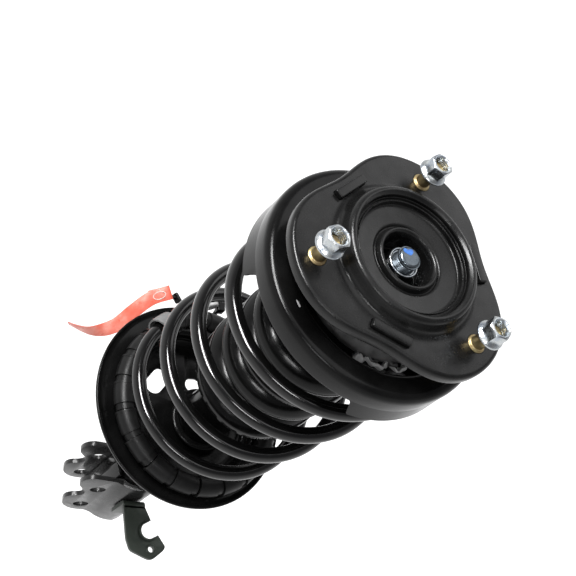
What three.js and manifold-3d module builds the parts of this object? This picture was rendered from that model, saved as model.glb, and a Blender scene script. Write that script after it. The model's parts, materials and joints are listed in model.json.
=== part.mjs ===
// Strut assembly with its coil spring, top mount, steering bearing and knuckle bracket.
// Millimetres. +Z is the rod's axis, upwards. Z = 0 is the face that bolts to the body tower.
// +X is the way the knuckle bracket points, and its bolts run along Y.
import * as THREE from 'three';
import { mergeVertices } from 'three/addons/utils/BufferGeometryUtils.js';
import Module from 'manifold-3d';

const wasm = await Module();
wasm.setup();

// ---- Driving dimensions ----
const GAP = 0.3;                      // clearance between parts that touch

const STUD_CIRCLE = 70;               // radius of the three studs
const STUD_ANGLES = [10.2, 133, 251.3];
const STUD_RADIUS = 5;
const STUD_SHANK = 6.6;               // serrated part pressed through both plates
const STUD_SHANK_TOP = 3.6;
const STUD_TOP = 20;
const NUT_BASES = [14, 13.4, 12.4];   // heights at which the shipping nuts stand
const NUT_HEIGHT = 12.4;
const NUT_FLANGE_RADIUS = 11;
const NUT_ACROSS_FLATS = 15;

const PLATE_MEAN = 79;                // mean radius of the three-lobed plate
const PLATE_LOBE = 8.6;
const PLATE_SQUARING = 1.2;
const PLATE_THICKNESS = 2.8;
const SKIRT_DEPTH = 7.5;
const BOSS_HEIGHT = 12;
const BOSS_BORE = 43.4;
const TAB_ANGLES = [70, 189.5, 310.5];
const TAB_RADIUS = 56.4;              // inner side of each crimped tab
const TAB_WIDTH = 6.6;
const TAB_HEIGHT = 3.6;
const TAB_LENGTH = 29;

const MOUNT_HOLE = 17.6;
const RACE_OUTER = 22.2;
const RACE_TOP = -16.7;
const RACE_BOTTOM = -28.6;
const BALL_CIRCLE = 14.4;
const BALL_RADIUS = 2.6;
const BALL_COUNT = 9;

const ROD_RADIUS = 10;
const ROD_NECK = 7;
const ROD_TIP = 5;
const ROD_SHOULDER = -36;
const ROD_END = -284;
const ROD_NUT_TOP = -3;
const ROD_NUT_HEIGHT = 11;

const UPPER_RIM = 87;
const SEAT_SHEET = 2.5;
const HUB_TOP = -33.2;
const SEAT_CROWN = -27;               // highest ring of the upper seat
const SEAT_WALL_FOOT = -45.5;
const APRON_FOOT = -60.5;             // deeper wall round the back
const APRON_START = 74;
const APRON_SWEEP = 290;
const INSULATOR_FOOT = -34.2;

const LOWER_RIM = 89.9;
const LOWER_CENTRE = new THREE.Vector3(11.4, -10, -298.7);
const LOWER_TILT = 6;                 // degrees from level
const LOWER_TILT_TOWARDS = 144.2;     // azimuth of the low side
const LOWER_SHEET = 2.7;
const TROUGH_FLOOR = -2.4;

const WIRE_RADIUS = 6;
const SLEEVE_OUTER = 9;
const SLEEVE_BORE = 7.1;
const SLEEVE_COUNT = 10;
const SPRING_LOW_RADIUS = 70.4;
const SPRING_HIGH_RADIUS = 74.2;
const SPRING_FOOT_SHIFT = [-2, 2.2];   // from the middle of the lower seat
const SPRING_HEAD_SHIFT = [-0.6, 1.2];
const SPRING_START = -72;             // azimuth of the lower wire end
const SPRING_TURNS = 5.98;
const SPRING_LIFT = 0.63;             // turns before the wire leaves the lower seat
const SPRING_LAND = 5.3;              // turns at which it reaches the upper seat
const SPRING_EASE = 0.12;
const STEPS_PER_TURN = 22;

const BOOT_TOP = -43;
const BOOT_BOTTOM = -213;
const BOOT_CREST = 51.3;
const BOOT_ROOT = 39;
const BOOT_FOLDS = 7;
const BOOT_WALL = 2;
const BUMPER_BOTTOM = -100;

const TUBE_RADIUS = 22.5;
const TUBE_WALL = 2.5;
const TUBE_TOP = -232;
const TUBE_BOTTOM = -528;
const CARTRIDGE_RADIUS = 16;
const CARTRIDGE_WALL = 1.5;

const BRACKET_TOP = -427;
const BRACKET_BOTTOM = -537;
const BRACKET_SHEET = 4.4;
const PLATE_OFFSET = 16.5;            // from the middle plane to each plate's middle
const BOLT_X = 33.8;
const BOLT_HEIGHTS = [-465.4, -513.5];
const BOLT_RADIUS = 7.6;

const CHANNEL_FACE = 25;
const CHANNEL_CREST = 28;

const HOSE_PLATE_TOP = -458;
const HOSE_SHEET = 4;

// ---- Materials ----
const finish = (color, roughness, metalness) => ({ color, roughness, metalness });
const PAINT = finish(0x0b0b0c, 0.32, 0.2);
const SATIN_PAINT = finish(0x151617, 0.5, 0.2);
const SPRING_COAT = finish(0x060606, 0.16, 0.1);
const RUBBER = finish(0x1b1b1b, 0.7, 0);
const ZINC = finish(0xc9ced4, 0.25, 1);
const GOLD_ZINC = finish(0xb8903c, 0.35, 1);
const BRIGHT_STEEL = finish(0xa9adb2, 0.2, 1);
const CAST = finish(0x60646a, 0.45, 1);
const POLYMER = finish(0x8b8d90, 0.6, 0);
const FOAM = finish(0x2a2622, 0.9, 0);
const OLIVE = finish(0x23261f, 0.5, 0.4);
const RED_FILM = finish(0xe8604a, 0.4, 0);

// ---- Solids ----
const degrees = THREE.MathUtils.degToRad;

function toSolid(geometry) {
  const bare = geometry.index ? geometry.toNonIndexed() : geometry.clone();
  bare.deleteAttribute('normal');
  bare.deleteAttribute('uv');
  const welded = mergeVertices(bare, 1e-4);
  const mesh = new wasm.Mesh({
    numProp: 3,
    vertProperties: new Float32Array(welded.attributes.position.array),
    triVerts: new Uint32Array(welded.index.array),
  });
  mesh.merge();
  return new wasm.Manifold(mesh);
}

function toGeometry(solid) {
  const mesh = solid.getMesh();
  const geometry = new THREE.BufferGeometry();
  geometry.setAttribute('position', new THREE.BufferAttribute(mesh.vertProperties, 3));
  geometry.setIndex(new THREE.BufferAttribute(mesh.triVerts, 1));
  return geometry;
}

const join = (...parts) => toGeometry(parts.map(toSolid).reduce((sum, part) => sum.add(part)));

const cut = (body, ...tools) => toGeometry(
  tools.map(toSolid).reduce((left, tool) => left.subtract(tool), toSolid(body)),
);

const common = (a, b) => toGeometry(toSolid(a).intersect(toSolid(b)));

// A closed loop of [radius, z] points turned about Z.
function turned(loop, segments = 24) {
  const closed = [...loop, loop[0]].map(([r, z]) => new THREE.Vector2(r, z));
  return new THREE.LatheGeometry(closed, segments).rotateX(Math.PI / 2);
}

// A profile that starts and ends on the axis, turned about Z.
function turnedSolid(profile, segments = 24) {
  const points = profile.map(([r, z]) => new THREE.Vector2(r, z));
  return new THREE.LatheGeometry(points, segments).rotateX(Math.PI / 2);
}

function ring(inner, outer, bottom, top, segments = 24) {
  return turned([[inner, bottom], [outer, bottom], [outer, top], [inner, top]], segments);
}

function cylinder(radius, bottom, top, segments = 24) {
  return turnedSolid([[0, bottom], [radius, bottom], [radius, top], [0, top]], segments);
}

function box(x0, x1, y0, y1, z0, z1) {
  return new THREE.BoxGeometry(x1 - x0, y1 - y0, z1 - z0)
    .translate((x0 + x1) / 2, (y0 + y1) / 2, (z0 + z1) / 2);
}

function slab(shape, bottom, top, curveSegments = 10) {
  return new THREE.ExtrudeGeometry(shape, { depth: top - bottom, bevelEnabled: false, curveSegments })
    .translate(0, 0, bottom);
}

// A shape drawn in X and Z, given thickness along Y.
function upright(shape, y0, y1, curveSegments = 10) {
  return new THREE.ExtrudeGeometry(shape, { depth: y1 - y0, bevelEnabled: false, curveSegments })
    .rotateX(Math.PI / 2)
    .translate(0, y1, 0);
}

function outline(points) {
  return new THREE.Shape(points.map(([x, y]) => new THREE.Vector2(x, y)));
}

function hexagon(acrossFlats) {
  const corner = acrossFlats / Math.sqrt(3);
  const points = Array.from({ length: 6 }, (_, i) => {
    const angle = degrees(60 * i);
    return [corner * Math.cos(angle), corner * Math.sin(angle)];
  });
  return outline(points);
}

// A loop of points swept round Z, where each radius may depend on the azimuth.
function lobed(loop, segments) {
  const positions = [];
  const triangles = [];
  const count = loop.length;
  for (let j = 0; j < segments; j += 1) {
    const angle = (2 * Math.PI * j) / segments;
    for (const [radius, z] of loop) {
      const r = typeof radius === 'function' ? radius(angle) : radius;
      positions.push(r * Math.cos(angle), r * Math.sin(angle), z);
    }
  }
  for (let j = 0; j < segments; j += 1) {
    const here = j * count;
    const next = ((j + 1) % segments) * count;
    for (let i = 0; i < count; i += 1) {
      const k = (i + 1) % count;
      triangles.push(here + i, next + i, next + k, here + i, next + k, here + k);
    }
  }
  const geometry = new THREE.BufferGeometry();
  geometry.setAttribute('position', new THREE.Float32BufferAttribute(positions, 3));
  geometry.setIndex(triangles);
  return geometry;
}

// ---- Top mount ----
function plateEdge(inset) {
  return (angle) => {
    const lobe = 3 * (angle - degrees(STUD_ANGLES[0]));
    return PLATE_MEAN + PLATE_LOBE * Math.cos(lobe) - PLATE_SQUARING * Math.cos(2 * lobe) - inset;
  };
}

const onStudCircle = (geometry, angle) => geometry
  .translate(STUD_CIRCLE * Math.cos(degrees(angle)), STUD_CIRCLE * Math.sin(degrees(angle)), 0);

function studHoles(bottom, top) {
  return STUD_ANGLES.map((angle) => onStudCircle(cylinder(STUD_SHANK + GAP, bottom, top, 16), angle));
}

function tab(angle, bottom, top, margin) {
  const half = TAB_LENGTH / 2 + margin;
  return box(TAB_RADIUS - margin, TAB_RADIUS + TAB_WIDTH + margin, -half, half, bottom, top)
    .rotateZ(degrees(angle));
}

function topPlate() {
  const plate = lobed([
    [plateEdge(3), -SKIRT_DEPTH],
    [plateEdge(0), -SKIRT_DEPTH],
    [plateEdge(0), -2.6],
    [plateEdge(0.9), -0.9],
    [plateEdge(2.6), 0],
    [57, 0],
    [53.4, 1.2],
    [51.6, 4],
    [50.2, 9.4],
    [48.6, 11.4],
    [46.8, BOSS_HEIGHT],
    [44.6, BOSS_HEIGHT - 0.4],
    [BOSS_BORE, BOSS_HEIGHT - 2],
    [BOSS_BORE, -PLATE_THICKNESS],
    [plateEdge(4.8), -PLATE_THICKNESS],
    [plateEdge(3), -4.4],
  ], 42);
  const slots = TAB_ANGLES.map((angle) => tab(angle, -4, 4, 0.4));
  return cut(plate, ...slots, ...studHoles(-4, 4));
}

function lowerPlate() {
  const top = -PLATE_THICKNESS - GAP;
  const plate = lobed([
    [44, top - 2.8],
    [plateEdge(6), top - 2.8],
    [plateEdge(6), top],
    [44, top],
  ], 42);
  const tabs = TAB_ANGLES.map((angle) => tab(angle, top - 1, TAB_HEIGHT, 0));
  return cut(join(plate, ...tabs), ...studHoles(top - 5, -2));
}

function mountRubber() {
  const outer = BOSS_BORE - GAP;
  return turned([
    [outer, -12],
    [outer, 5],
    [41.8, 5],
    [41.4, 3.4],
    [40, 2.8],
    [27, 1.2],
    [25.4, -0.2],
    [24, -0.2],
    [23.4, 2],
    [22.2, 3.9],
    [20.4, 4],
    [18.6, 2.6],
    [MOUNT_HOLE, 0],
    [MOUNT_HOLE, RACE_TOP + GAP],
    [RACE_OUTER + GAP, RACE_TOP + GAP],
    [RACE_OUTER + GAP, RACE_BOTTOM],
    [30, RACE_BOTTOM],
    [36, -17],
  ], 26);
}

function stud() {
  const head = -PLATE_THICKNESS - GAP - 2.8 - GAP;
  return turnedSolid([
    [0, head - 4],
    [9, head - 4],
    [9, head],
    [STUD_SHANK, head],
    [STUD_SHANK, STUD_SHANK_TOP - 0.6],
    [STUD_RADIUS, STUD_SHANK_TOP],
    [STUD_RADIUS, STUD_TOP - 1],
    [STUD_RADIUS - 1, STUD_TOP],
    [0, STUD_TOP],
  ], 12);
}

function flangeNut(bottom) {
  const flange = ring(STUD_RADIUS + GAP, NUT_FLANGE_RADIUS, bottom, bottom + 2, 20);
  const chamfer = turnedSolid([
    [0, bottom + 1],
    [NUT_ACROSS_FLATS * 0.62, bottom + 1],
    [NUT_ACROSS_FLATS * 0.62, bottom + NUT_HEIGHT - 1.6],
    [NUT_ACROSS_FLATS * 0.5, bottom + NUT_HEIGHT],
    [0, bottom + NUT_HEIGHT],
  ], 18);
  const hex = common(slab(hexagon(NUT_ACROSS_FLATS), bottom + 1, bottom + NUT_HEIGHT), chamfer);
  const bore = cylinder(STUD_RADIUS + GAP, bottom - 1, bottom + NUT_HEIGHT + 1, 12);
  return join(flange, cut(hex, bore));
}

// ---- Steering bearing ----
const BEARING_MIDDLE = (RACE_TOP + RACE_BOTTOM) / 2;

function outerRace() {
  const track = BALL_CIRCLE + BALL_RADIUS + GAP;
  return ring(track, RACE_OUTER, RACE_BOTTOM, RACE_TOP, 26);
}

function innerRace() {
  const track = BALL_CIRCLE - BALL_RADIUS - GAP;
  return ring(ROD_NECK + GAP, track, RACE_BOTTOM, RACE_TOP + 0.1);
}

function ballCage() {
  const cage = ring(BALL_CIRCLE - 1, BALL_CIRCLE + 1, BEARING_MIDDLE - 0.8, BEARING_MIDDLE + 0.8, 18);
  const balls = Array.from({ length: BALL_COUNT }, (_, i) => {
    const angle = (2 * Math.PI * i) / BALL_COUNT;
    return new THREE.SphereGeometry(BALL_RADIUS, 6, 4)
      .rotateX(Math.PI / 2)
      .translate(BALL_CIRCLE * Math.cos(angle), BALL_CIRCLE * Math.sin(angle), BEARING_MIDDLE);
  });
  return join(cage, ...balls);
}

// ---- Rod and upper seat ----
function pistonRod() {
  return turnedSolid([
    [0, ROD_END],
    [6, ROD_END],
    [6, ROD_END + 22],
    [ROD_RADIUS, ROD_END + 24],
    [ROD_RADIUS, ROD_SHOULDER - 1],
    [ROD_RADIUS - 1, ROD_SHOULDER],
    [ROD_NECK, ROD_SHOULDER],
    [ROD_NECK, ROD_TIP - 1.4],
    [ROD_NECK - 1.4, ROD_TIP],
    [0, ROD_TIP],
  ], 24);
}

function rodNut() {
  const bottom = ROD_NUT_TOP - ROD_NUT_HEIGHT;
  const body = turnedSolid([
    [0, bottom],
    [12.2, bottom],
    [12.2, bottom + 2],
    [11, bottom + 3],
    [11, ROD_NUT_TOP - 3.6],
    [9.4, ROD_NUT_TOP - 2.6],
    [9.4, ROD_NUT_TOP],
    [0, ROD_NUT_TOP],
  ], 24);
  const flats = join(
    slab(hexagon(19), bottom + 2, ROD_NUT_TOP),
    cylinder(12.4, bottom - 1, bottom + 2.4),
  );
  return cut(common(body, flats), cylinder(ROD_NECK + GAP, bottom - 1, ROD_NUT_TOP + 1));
}

const RACE_SHIM_TOP = ROD_NUT_TOP - ROD_NUT_HEIGHT - GAP;

function upperSeat() {
  const t = SEAT_SHEET;
  const inner = UPPER_RIM - t;
  const dish = turned([
    [ROD_NECK + GAP, HUB_TOP - t],
    [26, HUB_TOP - t],
    [36, -42.5],
    [60, -42.5],
    [65.5, -38],
    [70.5, SEAT_CROWN - t - 0.8],
    [82, SEAT_CROWN - t - 0.8],
    [inner, -33],
    [inner, SEAT_WALL_FOOT],
    [UPPER_RIM, SEAT_WALL_FOOT],
    [UPPER_RIM, -31],
    [84.2, -28],
    [72, SEAT_CROWN],
    [68.5, SEAT_CROWN - 1.5],
    [63, -37.5],
    [58.8, -40],
    [37, -40],
    [27, HUB_TOP],
    [ROD_NECK + GAP, HUB_TOP],
  ], 32);
  const apron = new THREE.Shape();
  const from = degrees(APRON_START);
  const to = degrees(APRON_START + APRON_SWEEP);
  apron.absarc(0, 0, UPPER_RIM, from, to, false);
  apron.absarc(0, 0, inner, to, from, true);
  return join(dish, slab(apron, APRON_FOOT, SEAT_WALL_FOOT + 4, 26));
}

// ---- Coil spring ----
const tiltAxis = new THREE.Vector3(
  -Math.sin(degrees(LOWER_TILT_TOWARDS)),
  Math.cos(degrees(LOWER_TILT_TOWARDS)),
  0,
);
const seatTilt = new THREE.Quaternion().setFromAxisAngle(tiltAxis, degrees(LOWER_TILT));
const seatNormal = new THREE.Vector3(0, 0, 1).applyQuaternion(seatTilt);
const wireLow = LOWER_CENTRE.clone()
  .addScaledVector(seatNormal, TROUGH_FLOOR + GAP + SLEEVE_OUTER)
  .add(new THREE.Vector3(...SPRING_FOOT_SHIFT, 0));
const wireHigh = new THREE.Vector3(...SPRING_HEAD_SHIFT, INSULATOR_FOOT - GAP - WIRE_RADIUS);

// A ramp from 0 that bends in smoothly over a short stretch.
function ease(x) {
  if (x <= -SPRING_EASE) return 0;
  if (x >= SPRING_EASE) return x;
  return (x + SPRING_EASE) ** 2 / (4 * SPRING_EASE);
}

function wirePoint(turn) {
  const rise = ease(turn - SPRING_LIFT) - ease(turn - SPRING_LAND);
  const share = rise / (SPRING_LAND - SPRING_LIFT);
  const centre = wireLow.clone().lerp(wireHigh, share);
  const radius = THREE.MathUtils.lerp(SPRING_LOW_RADIUS, SPRING_HIGH_RADIUS, share);
  const angle = degrees(SPRING_START) + 2 * Math.PI * turn;
  const x = radius * Math.cos(angle);
  const y = radius * Math.sin(angle);
  const lean = (1 - share) * (seatNormal.x * x + seatNormal.y * y) / seatNormal.z;
  return centre.add(new THREE.Vector3(x, y, -lean));
}

class WirePath extends THREE.Curve {
  constructor(start, end) {
    super();
    this.start = start;
    this.end = end;
  }

  getPoint(t) {
    return wirePoint(THREE.MathUtils.lerp(this.start, this.end, t));
  }
}

function alongWire(section, start, end) {
  const steps = Math.max(3, Math.round((end - start) * STEPS_PER_TURN));
  return new THREE.ExtrudeGeometry(section, {
    steps,
    curveSegments: 5,
    bevelEnabled: false,
    extrudePath: new WirePath(start, end),
  });
}

function disc(radius, sides, bore = 0) {
  const circle = (r) => Array.from({ length: sides }, (_, i) => {
    const angle = (2 * Math.PI * i) / sides;
    return new THREE.Vector2(r * Math.cos(angle), r * Math.sin(angle));
  });
  const shape = new THREE.Shape(circle(radius));
  if (bore > 0) shape.holes.push(new THREE.Path(circle(bore).reverse()));
  return shape;
}

// ---- Boot ----
function dustBoot() {
  const outside = [];
  const pitch = (BOOT_TOP - BOOT_BOTTOM) / BOOT_FOLDS;
  for (let fold = 0; fold < BOOT_FOLDS; fold += 1) {
    const top = BOOT_TOP - fold * pitch;
    outside.push([BOOT_ROOT, top], [BOOT_CREST, top - pitch / 2]);
  }
  outside.push([BOOT_CREST - 3, BOOT_BOTTOM]);
  const inside = outside.map(([r, z]) => [r - BOOT_WALL, z]).reverse();
  return turned([...outside, ...inside].reverse(), 20);
}

// ---- Damper ----
function outerTube() {
  return ring(TUBE_RADIUS - TUBE_WALL, TUBE_RADIUS, TUBE_BOTTOM, TUBE_TOP, 28);
}

function glandCap() {
  return turned([
    [ROD_RADIUS + 0.6, TUBE_TOP + GAP],
    [TUBE_RADIUS, TUBE_TOP + GAP],
    [TUBE_RADIUS, TUBE_TOP + 3],
    [TUBE_RADIUS - 2.5, TUBE_TOP + 4.6],
    [ROD_RADIUS + 2.4, TUBE_TOP + 4.6],
    [ROD_RADIUS + 0.6, TUBE_TOP + 3.4],
  ]);
}

function baseCap() {
  const inner = TUBE_RADIUS - TUBE_WALL - GAP;
  return turnedSolid([
    [0, TUBE_BOTTOM - 3],
    [14, TUBE_BOTTOM - 3],
    [TUBE_RADIUS - 3, TUBE_BOTTOM],
    [inner, TUBE_BOTTOM + 1],
    [inner, TUBE_BOTTOM + 5],
    [0, TUBE_BOTTOM + 5],
  ]);
}

// ---- Lower spring seat ----
function lowerSeat() {
  const t = LOWER_SHEET;
  const dish = turnedSolid([
    [0, -12 - t],
    [58, -12 - t],
    [61, -11.6],
    [64, -6.6],
    [67, -5.2],
    [84, -5.2],
    [88, -4.6],
    [LOWER_RIM, -2.4],
    [LOWER_RIM, 0],
    [88.4, 0.4],
    [86.6, -1.2],
    [84, TROUGH_FLOOR],
    [68, TROUGH_FLOOR],
    [65.6, -3.4],
    [62.6, -9],
    [58, -12],
    [0, -12],
  ], 36);
  dish.applyQuaternion(seatTilt).translate(LOWER_CENTRE.x, LOWER_CENTRE.y, LOWER_CENTRE.z);
  const collar = cylinder(TUBE_RADIUS + GAP + 2.6, -324, -302, 32);
  const tube = cylinder(TUBE_RADIUS + GAP, -340, -280, 32);
  const window = (radius, angle, length, width) => {
    const shape = new THREE.Shape();
    const half = (length - width) / 2;
    shape.absarc(0, half, width / 2, 0, Math.PI, false);
    shape.absarc(0, -half, width / 2, Math.PI, 2 * Math.PI, false);
    return slab(shape, -330, -290, 4).translate(radius, 0, 0).rotateZ(degrees(angle));
  };
  const windows = [
    window(51, -38, 26, 16),
    window(34, -82, 16, 12),
    window(46, 205, 14, 14),
  ];
  return cut(join(dish, collar), tube, ...windows);
}

// ---- Knuckle bracket ----
function bracketSide() {
  const shape = new THREE.Shape();
  const back = -TUBE_RADIUS - 12;
  shape.moveTo(back, BRACKET_TOP);
  shape.lineTo(-6, BRACKET_TOP);
  shape.lineTo(18, -439);
  shape.lineTo(44, -434.6);
  shape.quadraticCurveTo(54, -433.6, 56.6, -444);
  shape.quadraticCurveTo(59, -454, 50.5, -464);
  shape.quadraticCurveTo(42, -474, 42.6, -482);
  shape.quadraticCurveTo(44, -488, 51, -489.6);
  shape.quadraticCurveTo(57.4, -493, 55.6, -504);
  shape.quadraticCurveTo(53, -519, 45, -526.4);
  shape.quadraticCurveTo(39, -532.4, 30, -532.6);
  shape.lineTo(8, -531);
  shape.quadraticCurveTo(-2, -531.6, -8, BRACKET_BOTTOM);
  shape.lineTo(back, BRACKET_BOTTOM);
  return shape;
}

function bracketSection() {
  const inner = TUBE_RADIUS + GAP;
  const outer = inner + BRACKET_SHEET;
  const nearY = PLATE_OFFSET - BRACKET_SHEET / 2;
  const farY = PLATE_OFFSET + BRACKET_SHEET / 2;
  const innerAngle = Math.asin(nearY / inner);
  const outerAngle = Math.asin(farY / outer);
  const shape = new THREE.Shape();
  shape.moveTo(60, farY);
  shape.lineTo(outer * Math.cos(outerAngle), farY);
  shape.absarc(0, 0, outer, outerAngle, 2 * Math.PI - outerAngle, false);
  shape.lineTo(60, -farY);
  shape.lineTo(60, -nearY);
  shape.absarc(0, 0, inner, 2 * Math.PI - innerAngle, innerAngle, true);
  shape.lineTo(60, nearY);
  return shape;
}

function boltHoles(radius) {
  return BOLT_HEIGHTS.map((z) => cylinder(radius, -40, 40, 20)
    .rotateX(Math.PI / 2)
    .translate(BOLT_X, 0, z));
}

function knuckleBracket() {
  const wrap = slab(bracketSection(), BRACKET_BOTTOM, BRACKET_TOP, 12);
  const blank = upright(bracketSide(), -40, 40, 6);
  return cut(common(wrap, blank), ...boltHoles(BOLT_RADIUS));
}

// A folded web that closes the front of the wrap and backs both plates.
function bracketChannel() {
  const half = PLATE_OFFSET - BRACKET_SHEET / 2 - GAP;
  const web = outline([
    [CHANNEL_FACE - 3, -half], [CHANNEL_FACE, -half], [CHANNEL_CREST, 1.5], [CHANNEL_FACE, half],
    [CHANNEL_FACE - 3, half], [CHANNEL_CREST - 3, 1.5],
  ]);
  return slab(web, BRACKET_BOTTOM + 8, -431);
}

// ---- Hose bracket ----
function hoseBracket() {
  const plate = outline([
    [10, 34], [-12, 34], [-20, 49], [-17.5, 51.5], [-9, 53], [-5.4, 57], [-6.4, 62],
    [-11, 64.6], [-26, 60.8], [-33, 71], [-31, 75], [-20, 84], [-15, 84], [3, 76.5], [7, 66],
  ]);
  const hole = cylinder(3, -480, -440, 14).translate(-18, 74.5, 0);
  const flat = cut(slab(plate, HOSE_PLATE_TOP - HOSE_SHEET, HOSE_PLATE_TOP), hole);
  const root = TUBE_RADIUS + GAP + BRACKET_SHEET + GAP;
  const foot = box(-11, 9, root, 36, HOSE_PLATE_TOP - HOSE_SHEET, HOSE_PLATE_TOP);
  const upstand = box(-11, 9, root, root + HOSE_SHEET, HOSE_PLATE_TOP - 34, HOSE_PLATE_TOP);
  return join(flat, foot, upstand);
}

// ---- Shipping tag ----
const TAG_WIDTH = 13;
const TAG_THICKNESS = 0.8;
const tagPath = new THREE.CatmullRomCurve3([
  new THREE.Vector3(43, -101, -274),
  new THREE.Vector3(56, -97, -283),
  new THREE.Vector3(67, -89, -297),
  new THREE.Vector3(79, -79, -312),
  new THREE.Vector3(95, -77, -323),
  new THREE.Vector3(114, -84, -330),
]);

function tagStrip() {
  const section = outline([
    [-TAG_THICKNESS / 2, -TAG_WIDTH / 2],
    [TAG_THICKNESS / 2, -TAG_WIDTH / 2],
    [TAG_THICKNESS / 2, TAG_WIDTH / 2],
    [-TAG_THICKNESS / 2, TAG_WIDTH / 2],
  ]);
  return new THREE.ExtrudeGeometry(section, { steps: 12, bevelEnabled: false, extrudePath: tagPath });
}

// ---- Assembly ----
const strut = new THREE.Group();

function add(name, geometry, look) {
  const flat = geometry.index ? geometry.toNonIndexed() : geometry;
  flat.deleteAttribute('normal');
  flat.computeVertexNormals();
  const mesh = new THREE.Mesh(flat, new THREE.MeshStandardMaterial(look));
  mesh.name = name;
  strut.add(mesh);
}

add('mount_top_plate', topPlate(), SATIN_PAINT);
add('mount_lower_plate', lowerPlate(), PAINT);
add('mount_rubber', mountRubber(), RUBBER);
add('bearing_outer_race', outerRace(), BRIGHT_STEEL);
add('bearing_ball_cage', ballCage(), BRIGHT_STEEL);
add('bearing_inner_race', innerRace(), BRIGHT_STEEL);
STUD_ANGLES.forEach((angle, i) => {
  add(`stud_${i + 1}`, onStudCircle(stud(), angle), GOLD_ZINC);
  add(`stud_nut_${i + 1}`, onStudCircle(flangeNut(NUT_BASES[i]), angle), ZINC);
});

add('piston_rod', pistonRod(), BRIGHT_STEEL);
add('rod_nut', rodNut(), ZINC);
add('rod_washer', ring(ROD_NECK + GAP, 13, RACE_TOP + 0.4, RACE_SHIM_TOP), ZINC);
add('seat_spacer', ring(ROD_NECK + GAP, 11, HUB_TOP + GAP, RACE_BOTTOM - GAP), CAST);
add('bearing_dust_seal', turned([
  [39, -39.6], [56, -39.6], [57.5, -34], [52, -27.5], [47, -25.5], [45, -28], [50, -33], [40, -37],
], 24), POLYMER);
add('upper_spring_seat', upperSeat(), PAINT);
add('upper_spring_insulator', ring(71.8, 81.6, INSULATOR_FOOT, SEAT_CROWN - SEAT_SHEET - 1.1, 32), RUBBER);
add('coil_spring', alongWire(disc(WIRE_RADIUS, 7), 0, SPRING_TURNS), SPRING_COAT);
add('dust_boot', dustBoot(), RUBBER);
add('bump_stop', turned([
  [ROD_RADIUS + GAP, BUMPER_BOTTOM], [16, BUMPER_BOTTOM], [19, -90], [16.5, -80], [22, -70],
  [19, -60], [25, -50], [25, -43.2], [ROD_RADIUS + GAP, -43.2],
], 24), FOAM);
add('rebound_stop', ring(ROD_RADIUS + GAP, 13.6, -262, -256, 24), CAST);
add('damper_piston', ring(6 + GAP, CARTRIDGE_RADIUS - CARTRIDGE_WALL - GAP, -280, -264, 24), CAST);

add('damper_tube', outerTube(), PAINT);
add('gland_cap', glandCap(), BRIGHT_STEEL);
add('rod_guide', ring(ROD_RADIUS + GAP, TUBE_RADIUS - TUBE_WALL - GAP, TUBE_TOP - 18, TUBE_TOP - 1), CAST);
add('pressure_tube', ring(
  CARTRIDGE_RADIUS - CARTRIDGE_WALL, CARTRIDGE_RADIUS, TUBE_BOTTOM + 16, TUBE_TOP - 18 - GAP, 24,
), BRIGHT_STEEL);
add('base_valve', cylinder(CARTRIDGE_RADIUS, TUBE_BOTTOM + 5 + GAP, TUBE_BOTTOM + 16 - GAP), CAST);
add('base_cap', baseCap(), PAINT);
add('lower_spring_seat', lowerSeat(), PAINT);
const sleeveTurns = 1.04 / SLEEVE_COUNT;
for (let i = 0; i < SLEEVE_COUNT; i += 1) {
  const start = 0.03 + i * sleeveTurns;
  const sleeve = alongWire(disc(SLEEVE_OUTER, 10, SLEEVE_BORE), start, start + sleeveTurns - 0.0025);
  add(`spring_sleeve_${i + 1}`, sleeve, RUBBER);
}
add('knuckle_bracket', knuckleBracket(), PAINT);
add('bracket_channel', bracketChannel(), PAINT);
add('hose_bracket', hoseBracket(), OLIVE);
add('tag_strip', tagStrip(), RED_FILM);

export default strut;
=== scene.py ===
import json
import math

import bmesh
import bpy
from mathutils import Matrix, Quaternion, Vector


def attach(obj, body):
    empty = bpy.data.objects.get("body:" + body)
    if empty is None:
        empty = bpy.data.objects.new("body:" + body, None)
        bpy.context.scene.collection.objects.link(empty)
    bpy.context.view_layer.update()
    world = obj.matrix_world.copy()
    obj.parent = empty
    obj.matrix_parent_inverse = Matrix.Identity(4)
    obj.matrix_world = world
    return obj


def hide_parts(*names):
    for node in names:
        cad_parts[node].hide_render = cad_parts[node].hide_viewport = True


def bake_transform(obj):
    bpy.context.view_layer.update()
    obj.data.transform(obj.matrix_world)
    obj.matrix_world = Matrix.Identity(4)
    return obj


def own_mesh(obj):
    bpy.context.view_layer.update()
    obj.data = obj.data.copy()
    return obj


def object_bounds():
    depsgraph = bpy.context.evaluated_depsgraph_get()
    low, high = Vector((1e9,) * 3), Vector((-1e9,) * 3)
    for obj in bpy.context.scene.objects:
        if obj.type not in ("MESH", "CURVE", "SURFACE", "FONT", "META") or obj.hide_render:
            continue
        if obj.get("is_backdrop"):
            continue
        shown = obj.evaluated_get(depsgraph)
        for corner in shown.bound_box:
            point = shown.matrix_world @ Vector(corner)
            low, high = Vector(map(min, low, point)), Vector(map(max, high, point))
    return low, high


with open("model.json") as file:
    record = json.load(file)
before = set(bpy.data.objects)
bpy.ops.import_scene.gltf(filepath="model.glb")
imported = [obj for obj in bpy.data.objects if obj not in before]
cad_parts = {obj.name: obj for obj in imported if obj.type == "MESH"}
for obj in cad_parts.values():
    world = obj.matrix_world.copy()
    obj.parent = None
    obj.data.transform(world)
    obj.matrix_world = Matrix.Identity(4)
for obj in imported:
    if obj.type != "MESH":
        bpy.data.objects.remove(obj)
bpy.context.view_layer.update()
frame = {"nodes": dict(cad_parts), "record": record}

MM = 0.001
TURN = 2 * math.pi
UP = Vector((0, 0, 1))


# ---------------- materials

LOOKS = {}


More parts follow.
